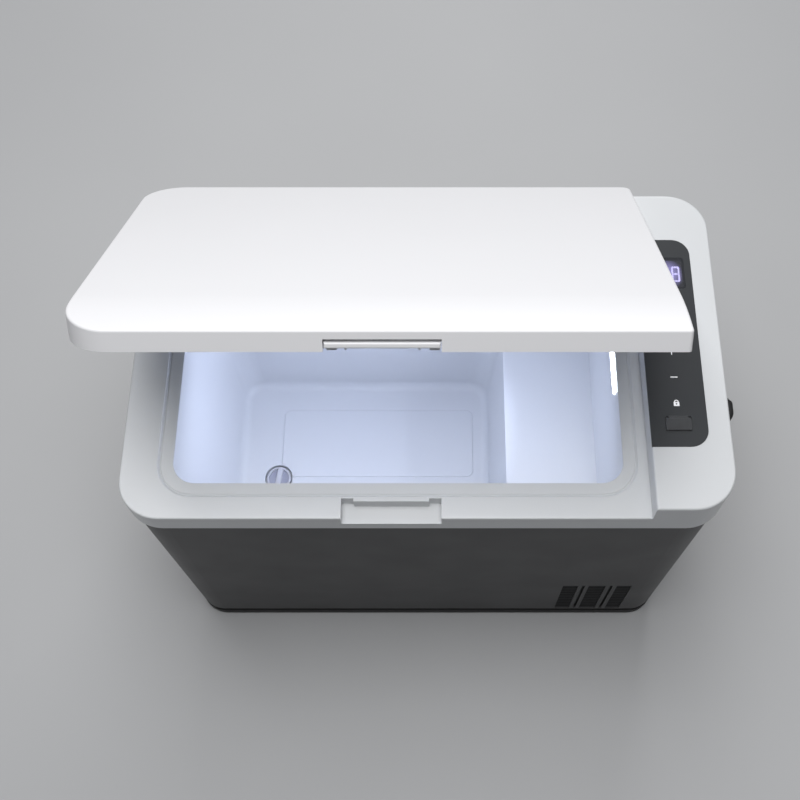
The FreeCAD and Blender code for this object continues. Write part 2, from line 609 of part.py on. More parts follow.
def make_fan_rotor():
    y0 = FAN_Y - 10.5
    hub = rod(FAN_X, y0, FAN_Z, 17.5, 17.0, V(0, 1, 0))
    hub = fillet_where(hub, 2.0, lambda p: abs(p.y - y0) < .01)
    blades = []
    for k in range(7):
        low = Part.makePolygon([V(FAN_X + 15, y0 + 2, FAN_Z - 7), V(FAN_X + 15, y0 + 14, FAN_Z + 6),
                                V(FAN_X + 15, y0 + 15.4, FAN_Z + 6), V(FAN_X + 15, y0 + 3.4, FAN_Z - 7),
                                V(FAN_X + 15, y0 + 2, FAN_Z - 7)])
        high = Part.makePolygon([V(FAN_X + 40, y0 + 4, FAN_Z - 12), V(FAN_X + 40, y0 + 12, FAN_Z + 12),
                                 V(FAN_X + 40, y0 + 13.2, FAN_Z + 12), V(FAN_X + 40, y0 + 5.2, FAN_Z - 12),
                                 V(FAN_X + 40, y0 + 4, FAN_Z - 12)])
        blade = Part.makeLoft([low, high], True, True)
        blade.rotate(V(FAN_X, 0, FAN_Z), V(0, 1, 0), 360.0 / 7 * k)
        blades.append(blade)
    ring = rod(FAN_X, y0 - 1, FAN_Z, 41.5, 20, V(0, 1, 0))
    rotor = hub.fuse(blades).common(ring)
    return rotor.cut(rod(FAN_X, y0 + 3.0, FAN_Z, PIN_R + RUN_GAP, 20, V(0, 1, 0)))


# ---- electronics ----------------------------------------------------------------------------------
def make_power_board():
    x, y0, z0 = 236.0, -30.0, 228.0
    board = box(x, x + 1.6, y0, y0 + 110, z0, z0 + 90)
    bits = []
    for i in range(4):
        bits.append(rod(x + 1.5, y0 + 16 + i * 20.0, z0 + 70, 6.0, 18.0, V(1, 0, 0)))
    bits.append(box(x + 1.5, x + 16, y0 + 8, y0 + 30, z0 + 8, z0 + 34))
    bits.append(box(x + 1.5, x + 14, y0 + 88, y0 + 104, z0 + 10, z0 + 40))
    return join(board, *bits)


def make_heat_sink():
    x, y0, z0 = 237.7, 5.0, 236.0
    sink = box(x, x + 4, y0, y0 + 48, z0, z0 + 40)
    fins = [box(x + 3.5, x + 26, y0 + i * 6.6, y0 + i * 6.6 + 1.6, z0, z0 + 40) for i in range(8)]
    return join(sink, *fins)


def make_display_board():
    z = CONSOLE_Z - 8.6
    board = plate(KEY_X - 17, KEY_X + 19, PANEL_Y0 + 44, PANEL_Y1 - 17, z, z + 1.6, 1.0)
    chips = [box(KEY_X - 8, KEY_X + 6, PANEL_Y0 + 66, PANEL_Y0 + 80, z - 2.5, z + 0.1)]
    pads = [rod(KEY_X, FRONT_Y + y, z + 1.5, 4.0, 1.0) for y in KEY_YS]
    return join(board, *chips, *pads)


KEY_YS = (107.7, 135.3, 162.9, 188.0, 214.5)
DISPLAY = (KEY_X - 15.0, KEY_X + 21.0, FRONT_Y + 234.0, FRONT_Y + 270.0)


def make_panel():
    panel = plate(CONSOLE_X + 0.2, PANEL_X1 - 0.15, PANEL_Y0 + 0.15, PANEL_Y1 - 0.15,
                  CONSOLE_Z - PANEL_T, CONSOLE_Z, (0, 17.85, 17.85, 0))
    x0, x1, y0, y1 = DISPLAY
    cuts = [plate(x0, x1, y0, y1, CONSOLE_Z - 1.2, CONSOLE_Z + 1, 3.0),
            plate(x0 + 2, x1 - 2, y0 + 2, y1 - 2, CONSOLE_Z - 4, CONSOLE_Z + 1, 2.0),
            plate(KEY_X - 12.4, KEY_X + 12.9, USB_Y - 7.2, USB_Y + 8.0, CONSOLE_Z - 1.0,
                  CONSOLE_Z + 1, 1.5),
            box(KEY_X - 8.0, KEY_X + 8.0, USB_Y - 4.0, USB_Y + 4.0, CONSOLE_Z - 3, CONSOLE_Z)]
    for y in KEY_YS:
        cuts.append(icon_shape(y, CONSOLE_Z - 0.3, 0.6))
    return panel.cut(cuts)


def icon_shape(y_front, z, h):
    """Generic key mark at a key's place: lock, minus, plus, gear-like dot ring or power ring."""
    y = FRONT_Y + y_front
    x = KEY_X
    if y_front == KEY_YS[0]:
        body = box(x - 2.7, x + 2.7, y - 3.2, y + 1.2, z, z + h).cut(rod(x, y - 0.9, z - 1, 0.8, 3))
        loop = rod(x, y + 1.2, z, 2.2, h).cut(rod(x, y + 1.2, z - 1, 1.3, 3))
        return join(body, loop.cut(box(x - 3, x + 3, y - 3, y + 1.0, z - 1, z + 3)))
    if y_front == KEY_YS[1]:
        return box(x - 3.4, x + 3.4, y - 0.5, y + 0.5, z, z + h)
    if y_front == KEY_YS[2]:
        return join(box(x - 3.4, x + 3.4, y - 0.5, y + 0.5, z, z + h),
                    box(x - 0.5, x + 0.5, y - 3.4, y + 3.4, z, z + h))
    ring = rod(x, y, z, 3.4, h).cut(rod(x, y, z - 1, 2.5, 3))
    if y_front == KEY_YS[3]:
        return join(ring, box(x - 0.45, x + 0.45, y - 2.7, y + 2.7, z, z + h),
                    box(x - 2.7, x + 2.7, y - 0.45, y + 0.45, z, z + h))
    gap = box(x - 1.2, x + 1.2, y, y + 5, z - 1, z + 3)
    return Part.Compound([ring.cut(gap), box(x - 0.45, x + 0.45, y + 0.6, y + 4.0, z, z + h)])


def make_display_window():
    x0, x1, y0, y1 = DISPLAY
    return plate(x0 + 0.1, x1 - 0.1, y0 + 0.1, y1 - 0.1, CONSOLE_Z - 1.2, CONSOLE_Z - 0.1, 2.9)


def make_digits():
    """The display module, and a minus sign with two seven-segment digits on it."""
    z = CONSOLE_Z - 2.2
    x0, x1, y0, y1 = DISPLAY
    lit = {"-": "g", "1": "bc", "8": "abcdefg"}
    wide, tall, bar = 8.0, 16.0, 1.5
    module = plate(x0 + 2.2, x1 - 2.2, y0 + 2.2, y1 - 2.2, CONSOLE_Z - 6.8, z, 1.5)
    spots = {"a": (0.8, tall, wide - 0.8, tall + bar), "b": (wide - bar, tall / 2 + 1.4, wide, tall + 0.2),
             "c": (wide - bar, 1.2, wide, tall / 2 + 0.6), "d": (0.8, 0, wide - 0.8, bar),
             "e": (0, 1.2, bar, tall / 2 + 0.6), "f": (0, tall / 2 + 1.4, bar, tall + 0.2),
             "g": (bar + 0.4, tall / 2 + 0.2, wide - bar - 0.4, tall / 2 + 0.2 + bar)}
    bars = []
    for sign, left in (("-", 3.4), ("1", 11.8), ("8", 23.4)):
        ox, oy = x0 + left, y0 + 9.0
        for name in lit[sign]:
            a, b, c, d = spots[name]
            bars.append(box(ox + a, ox + c, oy + b, oy + d, z, z + 0.8))
    return module, bars


def make_usb():
    z1 = CONSOLE_Z - 3.2
    outer = box(KEY_X - 7.6, KEY_X + 7.6, USB_Y - 3.6, USB_Y + 3.6, z1 - 13.0, CONSOLE_Z - 1.4)
    hollow = box(KEY_X - 6.2, KEY_X + 6.2, USB_Y - 2.4, USB_Y + 2.4, z1 - 12.0, CONSOLE_Z)
    tongue = box(KEY_X - 5.4, KEY_X + 5.4, USB_Y - 1.9, USB_Y - 0.1, z1 - 12.5, CONSOLE_Z - 3.0)
    return join(outer.cut(hollow), tongue)


USB_HINGE = (USB_Y + 7.3, CONSOLE_Z + 0.55)


def make_usb_cover():
    flap = plate(KEY_X - 12.0, KEY_X + 12.5, USB_Y - 6.8, USB_Y + 5.4, CONSOLE_Z - 0.7, CONSOLE_Z + 1.5, 1.0)
    flap = fillet_where(flap, 0.5, at_height(CONSOLE_Z + 1.5))
    y, z = USB_HINGE
    barrel = rod(KEY_X - 9.0, y, z, 0.75, 18.4, V(1, 0, 0))
    web = box(KEY_X - 9.0, KEY_X + 9.4, USB_Y + 5.2, y, z - 0.6, z + 0.6)
    return join(flap, web, barrel)


# ---- power inlet -----------------------------------------------------------------------------------
def make_inlet_housing():
    outer = plate(HALF_W + 0.1, INLET_X1, INLET_Y0, INLET_Y1, INLET_Z0, INLET_Z1, (0, 12.0, 5.0, 0))
    outer = fillet_where(outer, 4.0, lambda p: abs(p.z - INLET_Z1) < .01 and p.x > HALF_W + 1)
    y_open = INLET_Y1 - 14.0
    hollow = box(HALF_W + 2.0, INLET_X1 - 2.2, y_open, INLET_Y1 + 1, INLET_Z0 + 7, INLET_Z1 - 7)
    passage = box(HALF_W - 1, HALF_W + 6, INLET_Y0 + 3, INLET_Y0 + 9.5, INLET_Z0 + 12, INLET_Z1 - 12)
    hinge_slot = box(HALF_W + 3.0, INLET_X1 - 3.0, INLET_Y1 - 3.2, INLET_Y1 + 1, INLET_Z1 - 7.5,
                     INLET_Z1 + 1)
    return outer.cut([hollow, passage, hinge_slot])


def make_dc_socket():
    x0, x1 = HALF_W + 3.0, INLET_X1 - 3.2
    y0, y1 = INLET_Y1 - 14.0, INLET_Y1 - 2.6
    z0, z1 = INLET_Z0 + 9.0, INLET_Z1 - 9.0
    shroud = plate(x0, x1, y0, y1, z0, z1).cut(plate(x0 + 1.2, x1 - 1.2, y0 + 1.5, y1 + 1, z0 + 1.2, z1 - 1.2))
    xm = (x0 + x1) / 2
    pins = [rod(xm, y0 + 1.0, (z0 + z1) / 2 + dz, 1.3, 4.4, V(0, 1, 0)) for dz in (-5.0, 5.0)]
    return join(shroud, *pins)


INLET_HINGE = (INLET_Y1 - 0.2, INLET_Z1 - 5.2)


def make_inlet_cover():
    flap = box(HALF_W + 1.5, INLET_X1 - 1.8, INLET_Y1 + 0.3, INLET_Y1 + 2.1, INLET_Z0 + 5, INLET_Z1 - 6.6)
    flap = fillet_where(flap, 0.7, lambda p: abs(p.y - INLET_Y1 - 2.1) < .01)
    y, z = INLET_HINGE
    barrel = rod(HALF_W + 3.4, y, z, 1.4, INLET_X1 - HALF_W - 6.8, V(1, 0, 0))
    arm = box(HALF_W + 3.4, INLET_X1 - 3.4, y, INLET_Y1 + 2.1, z - 2.6, z + 0.9)
    return join(flap, arm, barrel)


# ---- lid (drawn closed, then tilted open) -----------------------------------------------------------
def lid_block(inset, z0, z1, r_left, r_back_right, r_front_right):
    return plate(LID_X0 + inset, LID_X1 - inset, LID_Y0 + inset, LID_Y1 - inset, z0, z1,
                 (r_left, r_front_right, r_back_right, r_left))


def nose_cut(extra=0.0):
    """Everything above the lid's crown, whose front rolls down in one arc."""
    x0, x1 = LID_X0 - 10, LID_X1 + 10
    top = LID_Z1 - extra
    run = 62.0
    start, end = V(x0, LID_Y0 - 1, top - LID_NOSE_DROP - 0.25), V(x0, LID_Y0 + run, top)
    mid = V(x0, LID_Y0 + run * 0.42, top - LID_NOSE_DROP * 0.30)
    up = 60.0
    profile = Part.Wire([Part.Arc(start, mid, end).toShape(),
                         Part.LineSegment(end, V(x0, LID_Y0 + run, top + up)).toShape(),
                         Part.LineSegment(V(x0, LID_Y0 + run, top + up),
                                          V(x0, LID_Y0 - 1, top + up)).toShape(),
                         Part.LineSegment(V(x0, LID_Y0 - 1, top + up), start).toShape()])
    return Part.Face(profile).extrude(V(x1 - x0, 0, 0))


def lid_recess():
    half = POCKET_W / 2 - 0.6
    return box(LATCH_X - half, LATCH_X + half, LID_Y0 - 1, LID_Y0 + 20.0, LID_Z0 - 1, DECK_Z + 11.6)


HOOK_XS = (LATCH_X - 45.2, LATCH_X + 37.0)
HOOK_W = 8.2


def make_lid_outer():
    top = lid_block(0.0, LID_Z0, LID_Z1, CORNER_R - 2, 9.0, 3.0).cut(nose_cut())
    try:
        rounded = fillet_where(top, 2.0, lambda p: p.z > LID_Z1 - LID_NOSE_DROP - 1.5)
        if rounded.isValid():
            top = rounded
    except Exception:
        print("lid crown left sharp")
    inner = lid_block(WALL, LID_Z0 - 1, LID_Z1 - 2.6, CORNER_R - 2 - WALL, 7.0, 2.0).cut(nose_cut(2.6))
    shell = top.cut(inner)
    half = POCKET_W / 2 - 0.6
    well = box(LATCH_X - half - 2, LATCH_X + half + 2, LID_Y0 + 1.0, LID_Y0 + 22.0, LID_Z0, DECK_Z + 13.6)
    cover = lid_block(0.5, LID_Z0, LID_Z1 - 1, CORNER_R - 2.5, 8.5, 2.5).cut(nose_cut(1.0))
    shell = join(shell, well.common(cover)).cut(lid_recess())
    y, z = HINGE_Y, HINGE_Z
    for x in HINGE_XS:
        knuckle = rod(x - 11.5, y, z, 6.0, 23.0, V(1, 0, 0))
        arm = box(x - 11.5, x + 11.5, LID_Y1 - 2.0, y, z - 4.5, z + 6.0)
        shell = join(shell, arm, knuckle)
        shell = shell.cut(rod(x - 12, y, z, PIN_R + RUN_GAP, 24.0, V(1, 0, 0)))
    pin_holes = rod(LATCH_X - half - 1.6, LATCH_Y, LATCH_Z, 1.5, 2 * half + 3.2, V(1, 0, 0))
    return shell.cut(pin_holes)


LINER_INSET = WALL + 0.15
SCREW_SINK = 1.8                       # how deep the lid's screw heads sit in the inner panel


def make_lid_inner():
    low = LID_Z0
    sheet = lid_block(LINER_INSET, low, low + 2.0, CORNER_R - 2 - LINER_INSET, 6.8, 1.8)
    groove = gasket_ring(low - 0.1, low + 1.2, 0.1)
    half = POCKET_W / 2 - 0.6
    sheet = sheet.cut([groove, box(LATCH_X - half - 2.2, LATCH_X + half + 2.2, LID_Y0, LID_Y0 + 22.2,
                                   low - 1, low + 5)])
    plug = taper((OPEN_X0 + 14, OPEN_X1 - 14, OPEN_Y0 + 14, OPEN_Y1 - 22, low - 6.0, 14.0),
                 (OPEN_X0 + 9, OPEN_X1 - 9, OPEN_Y0 + 9, OPEN_Y1 - 17, low + 0.5, 18.0))
    plug = fillet_where(plug, 3.0, at_height(low - 6.0))
    hollow = taper((OPEN_X0 + 16, OPEN_X1 - 16, OPEN_Y0 + 16, OPEN_Y1 - 24, low - 4.0, 12.0),
                   (OPEN_X0 + 11, OPEN_X1 - 11, OPEN_Y0 + 11, OPEN_Y1 - 19, low + 2.5, 16.0))
    bosses = [rod(x, y, low, 5.0, 4.0) for x, y in lid_screw_places()]
    holes = [rod(x, y, low - 1, 1.7, 8) for x, y in lid_screw_places()]
    holes += [rod(x, y, low - 1, 3.1, 1.0 + SCREW_SINK) for x, y in lid_screw_places()]
    return join(sheet, plug, *bosses).cut(holes + [hollow])


def lid_screw_places():
    for x in (LID_X0 + 28.0, -150.0, 70.0, LID_X1 - 16.0):
        yield x, LID_Y1 - 14.0
    for x in (LID_X0 + 44.0, 110.0):
        yield x, LID_Y0 + 14.0


def gasket_ring(z0, z1, grow=0.0):
    mid = 6.0
    g = 3.0 + grow
    x0, x1, y0, y1 = OPEN_X0 - mid, OPEN_X1 + mid - 1, OPEN_Y0 - mid + 1, OPEN_Y1 + mid - 1
    outer = plate(x0 - g, x1 + g, y0 - g, y1 + g, z0, z1, 26.0 + g)
    return outer.cut(plate(x0 + g, x1 - g, y0 + g, y1 - g, z0 - 1, z1 + 1, 26.0 - g))


def make_gasket():
    z_deck = DECK_Z - 1.5
    foot = gasket_ring(LID_Z0, LID_Z0 + 1.1)
    bulb = gasket_ring(z_deck + 0.35, LID_Z0 + 0.05, -0.8)
    return join(foot, bulb)


def make_lid_foam():
    foam = lid_block(WALL + 0.2, LID_Z0 + 2.1, LID_Z1 - 2.8, CORNER_R - 2 - WALL - 0.2, 6.6, 1.6)
    foam = foam.cut(nose_cut(2.8))
    low = LID_Z0
    filling = taper((OPEN_X0 + 16.2, OPEN_X1 - 16.2, OPEN_Y0 + 16.2, OPEN_Y1 - 24.2, low - 3.8, 11.8),
                    (OPEN_X0 + 11.2, OPEN_X1 - 11.2, OPEN_Y0 + 11.2, OPEN_Y1 - 19.2, low + 2.5, 15.8))
    foam = join(foam, filling)
    half = POCKET_W / 2 - 0.6
    cuts = [box(LATCH_X - half - 2.3, LATCH_X + half + 2.3, LID_Y0, LID_Y0 + 22.3, LID_Z0, DECK_Z + 13.8)]
    for x in HINGE_XS:
        cuts.append(box(x - 11.8, x + 11.8, LID_Y1 - 8, LID_Y1, HINGE_Z - 10, HINGE_Z + 10))
    cuts += [rod(x, y, LID_Z0, 1.8, 14) for x, y in lid_screw_places()]
    cuts += [rod(x, y, LID_Z0, 5.2, 4.2) for x, y in lid_screw_places()]
    return foam.cut(cuts)


def make_lid_screws():
    return [screw(x, y, LID_Z0 + SCREW_SINK, V(0, 0, -1), 1.5, 2.8, 9.0, 1.4)
            for x, y in lid_screw_places()]


def make_latch_handle():
    half = POCKET_W / 2 - 1.2
    bar = plate(LATCH_X - half, LATCH_X + half, LID_Y0 + 0.6, LID_Y0 + 6.6, DECK_Z + 2.9, DECK_Z + 8.3)
    bar = fillet_where(bar, 1.6, lambda p: p.y < LID_Y0 + 0.7 or p.y > LID_Y0 + 6.5)
    web = box(LATCH_X - half, LATCH_X + half, LID_Y0 + 5.0, LATCH_Y, LATCH_Z - 2.0, LATCH_Z + 0.6)
    tube = rod(LATCH_X - half, LATCH_Y, LATCH_Z, 2.8, 2 * half, V(1, 0, 0))
    grips = [box(x0, x1, LID_Y0 + 5.0, LATCH_Y + 4.0, LATCH_Z - 7.0, LATCH_Z + 1.0)
             for x0, x1 in ((LATCH_X - 30, LATCH_X - 28.4), (LATCH_X + 28.4, LATCH_X + 30))]
    hooks = []
    for x in HOOK_XS:
        profile = [(LATCH_Y - 1, LATCH_Z + 1.5), (FRONT_Y + 17.0, LATCH_Z + 1.0),
                   (FRONT_Y + 17.4, DECK_Z - 2.6), (FRONT_Y + 19.9, DECK_Z - 3.4),
                   (FRONT_Y + 19.6, DECK_Z - 4.4), (FRONT_Y + 16.6, DECK_Z - 5.5),
                   (FRONT_Y + 14.2, DECK_Z - 4.6), (FRONT_Y + 14.0, LATCH_Z - 3.4),
                   (LATCH_Y - 1, LATCH_Z - 2.5)]
        wire = Part.makePolygon([V(x, y, z) for y, z in profile] + [V(x, *profile[0])])
        hooks.append(Part.Face(wire).extrude(V(HOOK_W, 0, 0)))
    handle = join(bar, web, tube, *grips, *hooks)
    slot = box(LATCH_X - 8, LATCH_X + 8, LATCH_Y - 3.6, LATCH_Y + 4, LATCH_Z - 4, LATCH_Z + 4)
    return handle.cut([rod(LATCH_X - half - 1, LATCH_Y, LATCH_Z, 1.5 + RUN_GAP, 2 * half + 2, V(1, 0, 0)),
                       slot])


def make_latch_pin():
    half = POCKET_W / 2 - 0.6
    return rod(LATCH_X - half - 1.5, LATCH_Y, LATCH_Z, 1.5, 2 * half + 3.0, V(1, 0, 0))


def make_latch_spring():
    """Torsion spring coiled round the latch pin, as a coiled wire with two short legs."""
    turns, pitch, radius, wire_r = 6, 1.3, 2.35, 0.4
    x0 = LATCH_X - turns * pitch / 2
    helix = Part.makeHelix(pitch, turns * pitch, radius)
    ring = Part.Wire([Part.Circle(V(radius, 0, 0), V(0, 1, 0), wire_r).toShape()])
    coil = Part.Wire(helix.Edges).makePipeShell([ring], True, True)
    coil.rotate(V(0, 0, 0), V(0, 1, 0), 90)
    coil.translate(V(x0, LATCH_Y, LATCH_Z))
    return coil


# ---- hinges ------------------------------------------------------------------------------------------
def make_hinge_brackets():
    out = []
    y, z = HINGE_Y, HINGE_Z
    for x in HINGE_XS:
        leaf = box(x - 24, x + 24, BACK_Y, BACK_Y + 3.0, DECK_Z - 22, DECK_Z - 1.0)
        leaf = fillet_where(leaf, 3.0, lambda p: p.z < DECK_Z - 21.9 and abs(abs(p.x - x) - 24) < .01)
        ears = []
        for x0 in (x - 22.0, x + 12.0):
            ears.append(rod(x0, y, z, 5.5, 10.0, V(1, 0, 0)))
            wire = Part.makePolygon([V(x0, BACK_Y, DECK_Z - 8), V(x0, BACK_Y + 3, DECK_Z - 8),
                                     V(x0, y + 5.4, z - 1.5), V(x0, y + 2, z), V(x0, y - 5.4, z - 1.0),
                                     V(x0, BACK_Y, DECK_Z - 2.0), V(x0, BACK_Y, DECK_Z - 8)])
            ears.append(Part.Face(wire).extrude(V(10.0, 0, 0)))
        bracket = join(leaf, *ears)
        holes = [rod(x - 30, y, z, PIN_R, 60, V(1, 0, 0))]
        for dx in (-17.0, 17.0):
            holes.append(rod(x + dx, BACK_Y - 5, DECK_Z - 12.0, 1.6, 20, V(0, 1, 0)))
        out.append(bracket.cut(holes))
    return out


def make_hinge_pins():
    out = []
    for x in HINGE_XS:
        shaft = rod(x - 22.0, HINGE_Y, HINGE_Z, PIN_R, 45.0, V(1, 0, 0))
        head = rod(x - 23.6, HINGE_Y, HINGE_Z, 3.4, 1.6, V(1, 0, 0))
        out.append(join(shaft, head))
    return out


def make_hinge_screws():
    return [screw(x + dx, BACK_Y + 3.0, DECK_Z - 12.0, V(0, 1, 0), 1.5, 3.0, 9.0, 1.8)
            for x in HINGE_XS for dx in (-17.0, 17.0)]


# ---- drain ----------------------------------------------------------------------------------------------
def make_drain():
    z = TUB_Z - 8.0
    cap = rod(DRAIN_X, DRAIN_Y, z + 2.2, 15.0, 5.4)
    cap = fillet_where(cap, 1.2, at_height(z + 7.6))
    cap = cap.cut(rod(DRAIN_X, DRAIN_Y, z + 4.6, 12.2, 10))
    ridge = box(DRAIN_X - 3.4, DRAIN_X + 3.4, DRAIN_Y - 12.4, DRAIN_Y + 12.4, z + 4.0, z + 8.4)
    ridge = fillet_where(ridge, 0.8, at_height(z + 8.4))
    ridge.rotate(V(DRAIN_X, DRAIN_Y, 0), V(0, 0, 1), -8)
    stem = rod(DRAIN_X, DRAIN_Y, z - 6.0, 7.0, 9.0)
    plug = join(cap, ridge, stem)
    seal = rod(DRAIN_X, DRAIN_Y, z + 0.05, 13.0, 1.85).cut(rod(DRAIN_X, DRAIN_Y, z - 1, 7.4, 5))
    tube = rod(DRAIN_X, DRAIN_Y, FEET_H + 1.0, 10.0, z - FEET_H - 1.0)
    tube = join(tube, rod(DRAIN_X, DRAIN_Y, TUB_Z - 13.0, 15.0, 3.0))
    return plug, seal, tube.cut(rod(DRAIN_X, DRAIN_Y, 0, 8.0, 120))


# ---- LED and sensor -----------------------------------------------------------------------------------
def make_led():
    board = box(OPEN_X1 + 5.0, OPEN_X1 + 6.6, LED_Y0 + 1, LED_Y1 - 1, LED_Z - 4.2, LED_Z + 4.2)
    chips = [box(OPEN_X1 + 4.0, OPEN_X1 + 5.1, y - 1.4, y + 1.4, LED_Z - 1.4, LED_Z + 1.4)
             for y in [LED_Y0 + 8.0 + 11.0 * i for i in range(5)]]
    lens = box(OPEN_X1 - 2.2, OPEN_X1 + 3.6, LED_Y0 + 0.1, LED_Y1 - 0.1, LED_Z - 4.9, LED_Z + 4.9)
    lens = fillet_where(lens, 1.4, lambda p: p.x < OPEN_X1 - 2.1)
    return join(board, *chips), lens


def make_sensor():
    body = rod(SENSOR_X, OPEN_Y1 - 12.5, SENSOR_Z, 2.9, 20.0, V(0, 1, 0))
    guard = rod(SENSOR_X, OPEN_Y1 + 1.5, SENSOR_Z, 6.0, 4.0, V(0, 1, 0))
    return join(fillet_where(body, 1.2, lambda p: p.y < OPEN_Y1 - 12.4), guard)


# ---- everything ------------------------------------------------------------------------------------------
def make_feet():
    out = []
    for x, y in FEET_XY:
        foot = rod(x, y, 0, 15.0, FEET_H)
        foot = fillet_where(foot, 1.5, at_height(0.0))
        out.append(foot.cut([rod(x, y, -1, 2.2, 20), rod(x, y, -1, 4.6, 3.5)]))
    return out


def main():
    save("base_tray", make_base())
    save("rubber_feet", make_feet())
    save("foot_screws", [screw(x, y, 2.5, V(0, 0, -1), 1.9, 4.2, 6.2, 1.8) for x, y in FEET_XY])
    save("cabinet_shell", make_shell())
    save("base_screws", [screw(x, y, 32.0, axis, 1.5, 3.0, 9.0, 1.6) for x, y, axis in
                         [(px + ax.x * 0.25, py + ax.y * 0.25, ax) for px, py, ax in base_screw_places()]])
    save("front_grille", make_front_grille())
    save("front_louvres", make_front_louvres())
    save("side_grille", make_side_grille())
    save("top_frame", make_top_frame())
    save("tub_liner", make_liner())
    save("cabinet_foam", make_foam())
    save("evaporator_sheet", make_evaporator())
    save("evaporator_tube", make_evaporator_tube())
    save("machine_bay_wall", make_bay_wall())
    save("compressor_plate", make_mount_plate())
    save("compressor", make_compressor())
    save("compressor_terminal_box", make_terminal_box())
    save("compressor_grommets", make_grommets())
    save("compressor_bolts", make_compressor_bolts())
    save("condenser_fins", make_condenser_fins())
    save("condenser_tube", make_condenser_tube())
    suction, discharge = make_pipes()
    save("suction_pipe", suction)
    save("discharge_pipe", discharge)
    save("filter_drier", make_filter_drier())
    save("fan_frame", make_fan_frame())
    save("fan_rotor", make_fan_rotor())
    save("power_board", make_power_board())
    save("heat_sink", make_heat_sink())
    save("display_board", make_display_board())
    save("control_panel", make_panel())
    save("key_icons", [icon_shape(y, CONSOLE_Z - 0.3, 0.3) for y in KEY_YS])
    save("display_window", make_display_window())
    module, digits = make_digits()
    save("display_module", module)
    save("display_digits", digits)
    save("usb_socket", make_usb())
    save("usb_cover", make_usb_cover())
    save("inlet_housing", make_inlet_housing())
    save("dc_socket", make_dc_socket())
    save("inlet_cover", make_inlet_cover())
    plug, seal, tube = make_drain()
    save("drain_plug", plug)
    save("drain_seal", seal)
    save("drain_tube", tube)
    board, lens = make_led()
    save("led_board", board)
    save("led_lens", lens)
    save("temperature_sensor", make_sensor())
    save("hinge_brackets", make_hinge_brackets())
    save("hinge_pins", make_hinge_pins())
    save("hinge_screws", make_hinge_screws())
    save("lid_outer", tilted(make_lid_outer()))
    save("lid_inner", tilted(make_lid_inner()))
    save("lid_foam", tilted(make_lid_foam()))
    save("lid_gasket", tilted(make_gasket()))
    save("lid_screws", tilted(Part.Compound(make_lid_screws())))
    save("latch_handle", tilted(make_latch_handle()))
    save("latch_pin", tilted(make_latch_pin()))
    save("latch_spring", tilted(make_latch_spring()))


main()
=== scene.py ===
"""Compressor cooler fridge: materials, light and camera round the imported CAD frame."""
import json
import math

import bmesh
import bpy
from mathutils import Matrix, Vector


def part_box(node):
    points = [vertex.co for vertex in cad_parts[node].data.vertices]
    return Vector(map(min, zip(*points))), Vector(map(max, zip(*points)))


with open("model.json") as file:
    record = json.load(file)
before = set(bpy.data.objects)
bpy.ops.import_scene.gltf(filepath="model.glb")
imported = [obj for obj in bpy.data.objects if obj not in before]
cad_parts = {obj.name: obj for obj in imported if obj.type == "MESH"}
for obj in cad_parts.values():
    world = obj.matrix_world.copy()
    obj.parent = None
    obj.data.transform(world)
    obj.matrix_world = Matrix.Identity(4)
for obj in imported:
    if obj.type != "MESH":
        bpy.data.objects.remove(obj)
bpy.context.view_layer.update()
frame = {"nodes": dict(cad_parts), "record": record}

NODES = frame["nodes"]

# ---------------------------------------------------------------- material helpers


